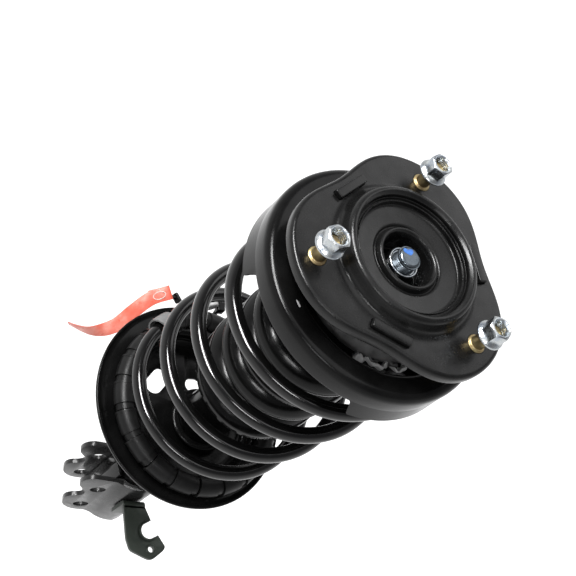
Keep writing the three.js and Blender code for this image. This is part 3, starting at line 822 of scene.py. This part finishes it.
WIRE = 6.0
SPRING_START = math.radians(-72)
SPRING_TURNS = 5.98
SPRING_LIFT = 0.63
SPRING_LAND = 5.3
SPRING_EASE = 0.12
LOW_RADIUS = 70.4
HIGH_RADIUS = 74.2
SLEEVE_WALL_ROOM = 3
SEAT_CENTRE = Vector((11.4, -10, -298.7))
SEAT_LEAN = math.radians(144.2)
SEAT_TILT = Quaternion((-math.sin(SEAT_LEAN), math.cos(SEAT_LEAN), 0), math.radians(6))
SEAT_NORMAL = SEAT_TILT @ UP
SEAT_FLOOR = -2.4
WIRE_LOW = SEAT_CENTRE + SEAT_NORMAL * (SEAT_FLOOR + GAP + WIRE + SLEEVE_WALL_ROOM) + Vector((-2, 2.2, 0))
WIRE_HIGH = Vector((-0.6, 1.2, -34.2 - GAP - WIRE))


def bend(x):
    """Zero below zero and x above it, with a soft change between the two."""
    if x <= -SPRING_EASE:
        return 0.0
    if x >= SPRING_EASE:
        return x
    return (x + SPRING_EASE) ** 2 / (4 * SPRING_EASE)


def wire_point(turn):
    """The wire's middle and its angle, flat on both seats and climbing evenly between them."""
    share = (bend(turn - SPRING_LIFT) - bend(turn - SPRING_LAND)) / (SPRING_LAND - SPRING_LIFT)
    centre = WIRE_LOW.lerp(WIRE_HIGH, share)
    radius = LOW_RADIUS + (HIGH_RADIUS - LOW_RADIUS) * share
    angle = SPRING_START + TURN * turn
    x = radius * math.cos(angle)
    y = radius * math.sin(angle)
    lean = (1 - share) * (SEAT_NORMAL.x * x + SEAT_NORMAL.y * y) / SEAT_NORMAL.z
    return centre + Vector((x, y, -lean)), angle


def wire_stations(start, end, per_turn=96):
    steps = max(2, round((end - start) * per_turn))
    stations = []
    for i in range(steps + 1):
        turn = start + (end - start) * i / steps
        here, angle = wire_point(turn)
        ahead = wire_point(turn + 0.002)[0] - wire_point(turn - 0.002)[0]
        side = Vector((math.cos(angle), math.sin(angle), 0))
        up = ahead.normalized().cross(side) * -1
        stations.append((here, side, up.normalized()))
    return stations


def coil_spring():
    stations = wire_stations(0, SPRING_TURNS)
    spring = sweep("spring_wire", stations, circle(WIRE, 28))
    done(spring, "spring_coat", None, "coil_spring", sharp=60)
    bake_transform(spring)


SLEEVE_COUNT = 10
SLEEVE_TURNS = 1.04 / SLEEVE_COUNT
SLEEVE_BORE = 7.2
LIP_TURNS = 0.0036
TONGUE_TURNS = 0.0095


def sleeve_section(outer, bore, opening):
    """A tube wall split along the inner side, as a closed loop in (side, up)."""
    start = math.pi + math.radians(opening / 2)
    end = TURN + math.pi - math.radians(opening / 2)
    return arc(outer, start, end, 26) + arc(bore, start, end, 26)[::-1]


def sleeve(index):
    """Two short split tubes, each with a raised lip at its start and a thin tongue at its end."""
    start = 0.03 + index * SLEEVE_TURNS
    half = (SLEEVE_TURNS - 0.0025) / 2
    parts = []
    for k in range(2):
        a = start + k * (half + 0.0006)
        b = a + half - 0.0022
        full = wire_stations(a + LIP_TURNS, b - TONGUE_TURNS, 150)
        parts.append(sweep("segment", full, sleeve_section(8.75, 7.15, 24)))
        tongue = wire_stations(b - TONGUE_TURNS, b + 0.0016, 900)
        parts.append(sweep("tongue", tongue, sleeve_section(7.5, SLEEVE_BORE, 30)))
        lip = wire_stations(a, a + LIP_TURNS, 900)
        parts.append(sweep("lip", lip, sleeve_section(9.1, SLEEVE_BORE, 26)))
    piece = merged("sleeve_%d_body" % (index + 1), *parts)
    done(piece, "sleeve_plastic", "strut_body", "spring_sleeve_%d" % (index + 1))


def sleeve_mouth():
    """The flared, paler open end of the last sleeve."""
    stations = wire_stations(1.045, 1.078, 400)
    mouth = sweep("sleeve_mouth", stations, sleeve_section(10.4, 9.05, 50))
    done(mouth, "sleeve_plastic", "strut_body", look="sleeve_end")


# ---------------- damper and lower seat

TUBE_RADIUS = 22.5
TUBE_TOP = -232
TUBE_BOTTOM = -528
TUBE_FIT = 22.8     # bore of whatever sits round the tube


def damper():
    tube = lathe("tube_body", rounded([
        (20, TUBE_BOTTOM), (TUBE_RADIUS, TUBE_BOTTOM, 0.8), (TUBE_RADIUS, TUBE_TOP, 1.6),
        (20, TUBE_TOP, 0.6)], 0.5), 96)
    done(tube, "gloss_black", "strut_body", "damper_tube")
    gland = lathe("gland_body", rounded([
        (10.6, -231.7), (TUBE_RADIUS, -231.7, 0.4), (TUBE_RADIUS, -229, 1.2), (20, -227.4, 1),
        (12.4, -227.4, 0.6), (10.6, -228.6, 0.6)], 0.5), 96)
    done(gland, "bright_steel", "strut_body", "gland_cap")
    base = solid_lathe("base_body", rounded([
        (0, -531), (14, -531, 2), (19.6, -528.4, 1.4), (19.7, -527, 0.5), (19.7, -523), (0, -523)],
        0.5, closed=False), 96)
    done(base, "gloss_black", "strut_body", "base_cap")


def seat_space(obj):
    """Takes a piece from the lower seat's own frame to its place."""
    turn = SEAT_TILT.to_matrix().to_4x4()
    return place(obj, Matrix.Translation(SEAT_CENTRE * MM) @ turn)


def seat_window(radius, angle, length, width):
    """A drill for an oval window in the lower seat."""
    end = width / 2
    half = (length - width) / 2
    loop = arc(end, 0, math.pi, 12, (0, half)) + arc(end, math.pi, TURN, 12, (0, -half))
    return at_angle(slab("window", [loop], -335, -285), radius, angle)


def lower_seat():
    """The dished lower seat with its windows, and the collar that holds it on the tube."""
    under = -12 - 2.7
    dish = solid_lathe("dish", rounded([
        (0, under), (57, under, 4), (61, -11, 3), (64, -6.6, 2), (67.4, -5.2, 2), (84, -5.2, 2),
        (88, -4.4, 2), (89.9, -2.4, 1), (89.9, 0, 0.9), (88.6, 0.5, 0.6), (87.6, -0.6, 1), (86.8, -1.5, 0.8),
        (84.4, SEAT_FLOOR, 1.4), (68, SEAT_FLOOR, 1.6), (65.8, -3.4, 1.4), (62.6, -9.2, 2.4), (58.6, -12, 3),
        (0, -12)], 1, closed=False), 192)
    seat_space(dish)
    tube_hole = solid_lathe("tube_hole", [(0, -340), (TUBE_FIT, -340), (TUBE_FIT, -280), (0, -280)], 96)
    windows = [seat_window(51, -38, 26, 16), seat_window(34, -82, 16, 12), seat_window(46, 205, 14, 14)]
    cut(dish, tube_hole, *windows)
    soften(dish, 0.45, 2, 60)
    collar = lathe("collar", rounded([
        (TUBE_FIT, -324), (25.2, -324, 0.8), (25.4, -313, 1), (25.4, -308, 3), (29, -304.6, 3), (27, -303, 1),
        (24.4, -302.2, 1), (TUBE_FIT, -302.2)], 0.5), 96)
    piece = merged("lower_seat_body", dish, collar)
    done(piece, "gloss_black", "strut_body", "lower_spring_seat", sharp=42)


# ---------------- knuckle and hose brackets

BRACKET_SHEET = 4.4
BRACKET_BACK = -35
PLATE_OFFSET = 16.5
PLATE_FRONT = 60
WRAP_BEND = 0.24    # the part of the wrap, in radians, that the bend into a plate takes up
BOLT_X = 33.8
BOLT_HEIGHTS = (-465.4, -513.5)


def curve_path(start, *legs):
    """A path of straight legs (x, y) and bent legs (cx, cy, x, y)."""
    points = [Vector(start)]
    for leg in legs:
        if len(leg) == 2:
            points.append(Vector(leg))
            continue
        a, b, c = points[-1], Vector(leg[:2]), Vector(leg[2:])
        for i in range(1, 11):
            t = i / 10
            points.append(a * (1 - t) ** 2 + b * 2 * t * (1 - t) + c * t * t)
    return [tuple(p) for p in points]


def bracket_outline():
    """Side view of both plates, from above the upper bolt to below the lower one."""
    return curve_path(
        (BRACKET_BACK, -427.2), (-6, -427.2), (18, -439.2), (44, -434.8), (54, -433.8, 56.4, -444),
        (58.8, -454, 50.3, -464), (41.8, -474, 42.4, -482), (43.8, -488, 50.8, -489.6),
        (57.2, -493, 55.4, -504), (52.8, -519, 44.8, -526.2), (38.8, -532.2, 30, -532.4), (8, -530.8),
        (-2, -531.4, -8, -536.8), (BRACKET_BACK, -536.8))


def bracket_section():
    """Plan view of the folded sheet: both plates and the wrap round the tube, joined by soft bends."""
    outer = TUBE_FIT + BRACKET_SHEET
    near = PLATE_OFFSET - BRACKET_SHEET / 2
    far = PLATE_OFFSET + BRACKET_SHEET / 2
    inner_angle = math.asin(near / TUBE_FIT)
    outer_angle = math.asin(far / outer)
    plate_end = outer * math.cos(outer_angle)
    wrap_start = outer_angle + WRAP_BEND
    bend_in = curve_path((plate_end + 7, far), (
        plate_end + 1, far, outer * math.cos(wrap_start), outer * math.sin(wrap_start)))
    loop = [(PLATE_FRONT, far)] + bend_in
    loop += arc(outer, wrap_start, TURN - outer_angle - WRAP_BEND, 60)[1:-1]
    loop += [(x, -y) for x, y in reversed(bend_in)] + [(PLATE_FRONT, -far), (PLATE_FRONT, -near)]
    loop += arc(TUBE_FIT, TURN - inner_angle, inner_angle, 60)
    loop.append((PLATE_FRONT, near))
    return loop


def bolt_hole(radius, z):
    hole = solid_lathe("bolt_hole", [(0, -60), (radius, -60), (radius, 60), (0, 60)], 48)
    return place(hole, shift(BOLT_X, 0, z) @ spin(90, "X"))


def knuckle_bracket():
    """The bracket that clasps the tube, cut to its outline, and the channel between its plates."""
    wrap = slab("knuckle_bracket_body", [bracket_section()], -537, -427)
    blank = slab("blank", [bracket_outline()], -40, 40)
    place(blank, spin(90, "X"))
    common(wrap, blank)
    cut(wrap, *[bolt_hole(7.6, z) for z in BOLT_HEIGHTS])
    soften(wrap, 0.9, 3, 40)
    done(wrap, "gloss_black", "strut_body", "knuckle_bracket", look="bracket_black")
    half = PLATE_OFFSET - BRACKET_SHEET / 2 - GAP
    web = slab("bracket_web_body", [rounded([
        (22.2, -half, 0.9), (25, -half, 0.9), (28, 1.5, 1.6), (25, half, 0.9), (22.2, half, 0.9),
        (25.2, 1.5, 1.6)], 0.9)], -529, -431, 0.3)
    done(web, "gloss_black", "strut_body", "bracket_channel")


HOSE_TOP = -458
HOSE_HOLE = (-18, 74.5)
SLOT_MIDDLE = (-15.2, 57.2)
SLOT_RADIUS = 7.8
SLOT_OPENS = 209
RIM_START = 78
RIM_SWEEP = 204


def hose_slot():
    """Drills for the round slot that holds the hose and for its open mouth."""
    bottom, top = HOSE_TOP - 12, HOSE_TOP + 8
    corners = [(0, -SLOT_RADIUS), (30, -SLOT_RADIUS), (30, SLOT_RADIUS), (0, SLOT_RADIUS)]
    mouth = slab("mouth", [corners], bottom, top)
    place(mouth, shift(*SLOT_MIDDLE) @ spin(SLOT_OPENS))
    return mouth, slab("round_part", [circle(SLOT_RADIUS, 64, SLOT_MIDDLE)], bottom, top)


def slot_rim():
    """The raised rim round the closed side of the slot."""
    stations = []
    for i in range(33):
        a = math.radians(SLOT_OPENS) + math.radians(RIM_START + RIM_SWEEP * i / 32)
        out = Vector((math.cos(a), math.sin(a), 0))
        stations.append((Vector((*SLOT_MIDDLE, HOSE_TOP)) + out * (SLOT_RADIUS + 1.1), out, UP))
    section = rounded([(-1.1, -4), (1.1, -4), (1.1, 1.4), (0.4, 2.6), (-1.1, 2.6)], 0.6, steps=3)
    return sweep("collar", stations, section)


def bracket_foot(root):
    """The curl that turns the plate down along the knuckle bracket."""
    stations = []
    for i in range(13):
        a = math.radians(90 * i / 12)
        stations.append((Vector((-1, root + 6 - 4 * math.sin(a), HOSE_TOP - 6 + 4 * math.cos(a))),
                         Vector((1, 0, 0)), Vector((0, math.sin(a), -math.cos(a)))))
    return sweep("foot", stations, rounded([(-11.4, -2), (10.6, -2), (10.6, 2), (-11.4, 2)], 0.5, steps=2))


def hose_bracket():
    outline = rounded([
        (10, 34, 1), (7, 66, 3), (3, 76.5, 3), (-15, 84, 3), (-20, 84, 3), (-31, 75, 2), (-33, 71, 2),
        (-26.5, 62, 0.5), (-19.2, 49, 0.5), (-12, 34, 1)], 1.5, steps=5)
    plate = slab("plate", [outline, circle(3, 32, HOSE_HOLE)], HOSE_TOP - 4, HOSE_TOP)
    cut(plate, *hose_slot())
    soften(plate, 0.5, 2, 50)
    boss = lathe("boss", rounded([
        (3, -2.6), (5.6, -2.6), (5.2, 0.4, 0.7), (3.6, 0.6, 0.4), (3, 0.2)], 0.3), 40)
    place(boss, shift(*HOSE_HOLE, HOSE_TOP + 0.2))
    rim = slot_rim()
    root = TUBE_FIT + BRACKET_SHEET + GAP
    foot = bracket_foot(root)
    flat = slab("flat", [[(-12.2, root + 6), (9.6, root + 6), (9.6, 36), (-12.4, 36)]],
                HOSE_TOP - 4, HOSE_TOP, 0.4)
    upstand = slab("upstand", [[(-12.4, root), (9.6, root), (9.6, root + 4), (-12.4, root + 4)]],
                   HOSE_TOP - 34, HOSE_TOP - 6, 0.9)
    done(merged("hose_bracket_body", plate, boss, rim, foot, flat, upstand),
         "olive_paint", "strut_body", "hose_bracket")


# ---------------- tag

TAG_POINTS = (
    (43, -101, -274), (56, -97, -283), (67, -89, -297), (79, -79, -312), (95, -77, -323), (114, -84, -330))
TAG_WIDTH = 12.5
TAG_THICKNESS = 0.6
TAG_FACE = Vector((0.46836, 0.46573, 0.75082))
TAG_TWIST = 74
FOLD_RADIUS = 1.6
FOLD_STEPS = 9
FLAP_STEPS = 14


def spline_point(points, t):
    """A smooth path through all points, t from 0 to 1."""
    count = len(points) - 1
    x = min(max(t, 0), 1) * count
    i = min(int(x), count - 1)
    f = x - i
    p = [Vector(points[max(0, min(count, k))]) for k in (i - 1, i, i + 1, i + 2)]
    a = p[1] * 2
    b = p[2] - p[0]
    c = p[0] * 2 - p[1] * 5 + p[2] * 4 - p[3]
    d = p[1] * 3 - p[0] - p[2] * 3 + p[3]
    return (a + b * f + c * f * f + d * f ** 3) * 0.5
def tag_station(middle, ahead, lift, twist):
    """A place along the tag, turned to its face and then twisted by some degrees."""
    side = ahead.cross(TAG_FACE).normalized()
    side = Matrix.Rotation(math.radians(twist), 3, ahead) @ side
    up = side.cross(ahead).normalized()
    return middle + up * lift, side, up


def tag_strip(section):
    """The strip from its far end to the fold, twisted more and more over its outer half."""
    stations = []
    steps = 60
    for i in range(steps + 1):
        t = 1 - i / steps
        here = spline_point(TAG_POINTS, t)
        ahead = spline_point(TAG_POINTS, t - 0.01) - spline_point(TAG_POINTS, t + 0.01)
        if i in (0, steps):
            near = min(t + 0.01, 1)
            ahead = spline_point(TAG_POINTS, near - 0.02) - spline_point(TAG_POINTS, near)
        far = max(0.0, (t - 0.5) / 0.5)
        twist = TAG_TWIST * far * far * (3 - 2 * far)
        stations.append(tag_station(here, ahead.normalized(), 0.6 * math.sin(9 * t), twist))
    return sweep("strip", stations, section), stations[-1]


def tag_fold(section, end, side, up, ahead):
    """The end of the strip, folded back on itself."""
    stations = []
    for i in range(FOLD_STEPS + FLAP_STEPS + 1):
        turn = math.pi * min(1.0, i / FOLD_STEPS)
        back = max(0, i - FOLD_STEPS) * 1.25
        middle = end - up * FOLD_RADIUS + ahead * (FOLD_RADIUS * math.sin(turn) - back)
        middle += up * FOLD_RADIUS * math.cos(turn)
        middle += side * (-0.06 * back) - up * 0.03 * back
        stations.append((middle, side, up * math.cos(turn) + ahead * math.sin(turn)))
    return sweep("folded", stations, section)


def tag_eyelet(hole, side, up, ahead):
    """The pale oval edge of the hole in the tag."""
    stations = []
    for i in range(33):
        a = TURN * i / 32
        out = ahead * math.cos(a) * 5.4 + side * math.sin(a) * 3.2
        stations.append((hole + out, out.normalized(), up))
    return sweep("tag_eyelet", stations[:-1] + stations[:1], circle(0.45, 8), caps=False)


def tag():
    """A film strip with its end folded back on itself, and an eyelet."""
    section = rectangle(TAG_WIDTH / 2, TAG_THICKNESS / 2, 0.2, steps=2)
    strip, (end, side, up) = tag_strip(section)
    ahead = up.cross(side).normalized()
    if ahead.dot(Vector(TAG_POINTS[0]) - Vector(TAG_POINTS[1])) < 0:
        ahead = -ahead
    folded = tag_fold(section, end, side, up, ahead)
    rim = tag_eyelet(end - ahead * 8.5 + up, side, up, ahead)
    done(merged("tag_body", strip, folded), "red_film", "strut_body", "tag_strip", sharp=50)
    done(rim, "red_film", "strut_body", look="film_edge")


def rod_along(name, points, radius):
    """A round bar through a few points."""
    stations = []
    steps = 36
    for i in range(steps + 1):
        t = i / steps
        here = spline_point(points, t)
        ahead = spline_point(points, min(1, t + 0.01)) - spline_point(points, max(0, t - 0.01))
        ahead.normalize()
        side = ahead.cross(UP).normalized()
        stations.append((here, side, side.cross(ahead).normalized()))
    return sweep(name, stations, circle(radius, 14))


def tie():
    """The black tie that holds the tag, with its square catch."""
    band = rod_along("tie", ((41, -98, -276), (35, -100, -279), (27, -98.5, -284), (25, -95, -291)), 1.5)
    catch = slab("catch", [rectangle(3, 4.4, 1)], -1.6, 1.6, 0.6)
    place(catch, shift(33, -100.5, -280) @ spin(30) @ spin(60, "Y"))
    done(merged("tag_tie", band, catch), "gloss_black", "strut_body")


def plug():
    """The pale plug beside the lower seat, and its black socket on a short stalk."""
    cap = solid_lathe("seat_plug", rounded([
        (0, -7), (6.4, -7, 2), (6.8, 3, 3), (4.6, 7, 2), (0, 7.6)], 1, closed=False), 48)
    place(cap, shift(-1, -106, -283) @ spin(90, "X") @ spin(20, "Y"))
    done(cap, "grey_plastic", "strut_body")
    block = slab("seat_plug_socket", [rectangle(3.6, 7, 1)], -4, 4, 0.8)
    place(block, shift(-12.5, -105, -286))
    stalk = rod_along(
        "stalk", ((-12.5, -104, -288), (-11, -100, -292), (-9, -96, -296), (-8, -93, -299)), 2.2)
    done(merged("seat_plug_arm", block, stalk), "gloss_black", "strut_body")


# ---------------- build

top_plate()
lower_plate()
mount_rubber()
studs()
nuts()
bearing()
rod()
paint_dab()
rod_nut()
upper_seat()
dust_seal()
dust_boot()
coil_spring()
for number in range(SLEEVE_COUNT):
    sleeve(number)
sleeve_mouth()
damper()
lower_seat()
knuckle_bracket()
hose_bracket()
tag()
tie()
plug()


# ---------------- stage, lights and camera

FLOOR_HALF = 6.0    # the floor and the lights are in metres
FLOOR_DROP = 0.3


def camera():
    """The camera that was solved from the photo."""
    data = bpy.data.cameras.new("camera")
    data.sensor_width = 36
    data.lens = 63.92
    data.clip_start = 0.05
    data.clip_end = 20
    obj = as_object("camera", data)
    right = Vector((-0.86461671, 0.06667297, 0.49798861))
    up = Vector((0.18186957, -0.88241076, 0.43390634))
    back = -Vector((-0.46836033, -0.46573165, -0.75082131))
    turn = Matrix((right, up, back)).transposed().to_4x4()
    obj.matrix_world = Matrix.Translation(Vector((372.20450809, 318.26236433, 450.04348938)) * MM) @ turn
    bpy.context.scene.camera = obj


def area(name, location, target, size, power, size_y=None):
    """An area light turned to a target; with size_y it is a rectangle."""
    data = bpy.data.lights.new(name, "AREA")
    data.energy = power
    data.size = size
    if size_y:
        data.shape = "RECTANGLE"
        data.size_y = size_y
    obj = as_object(name, data)
    obj.location = location
    aim = Vector(target) - Vector(location)
    obj.rotation_euler = aim.to_track_quat("-Z", "Y").to_euler()


def stage():
    """A wide pale floor, a little below the part."""
    z = (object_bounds()[0][2] - FLOOR_DROP) / MM
    half = FLOOR_HALF / MM
    corners = [(-half, -half, z), (half, -half, z), (half, half, z), (-half, half, z)]
    floor = mesh_object("floor", corners, [(0, 1, 2, 3)])
    look = Look("floor")
    look.set(Specular_IOR_Level=0.1, Emission_Color=(1, 1, 1, 1), Emission_Strength=0.8)
    look.color(look.ramp(look.noise(3), (0.3, grey(0.44)), (0.7, grey(0.46))))
    look.rough(look.span(look.noise(20), 0.85, 0.95))
    floor.data.materials.append(LOOKS["floor"])
    floor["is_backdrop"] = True


def sky():
    """Pale at the horizon and dim overhead, like a light tent with its lid open."""
    world = bpy.data.worlds.new("world")
    bpy.context.scene.world = world
    world.use_nodes = True
    tree = world.node_tree
    where = tree.nodes.new("ShaderNodeTexCoord")
    split = tree.nodes.new("ShaderNodeSeparateXYZ")
    tree.links.new(where.outputs["Generated"], split.inputs[0])
    ramp = tree.nodes.new("ShaderNodeValToRGB")
    ramp.color_ramp.elements[0].position = 0.05
    ramp.color_ramp.elements[0].color = (1, 1, 1, 1)
    ramp.color_ramp.elements[1].position = 0.6
    ramp.color_ramp.elements[1].color = (0.22, 0.22, 0.23, 1)
    tree.links.new(split.outputs["Z"], ramp.inputs["Fac"])
    back = tree.nodes["Background"]
    tree.links.new(ramp.outputs["Color"], back.inputs["Color"])
    back.inputs["Strength"].default_value = 1.0


camera()
stage()
sky()
bpy.context.scene.view_settings.view_transform = "Standard"
middle = (0, 0, -0.2)
area("key", (0.71, -0.36, 0.95), middle, 0.95, 42, size_y=0.24)
area("second", (0.5, 0.77, 1.0), middle, 0.5, 5, size_y=0.16)
area("overhead", (-0.1, 0.1, 1.9), middle, 1.4, 9)
area("sheen", (-1.12, -0.95, 1.2), middle, 1.2, 7)
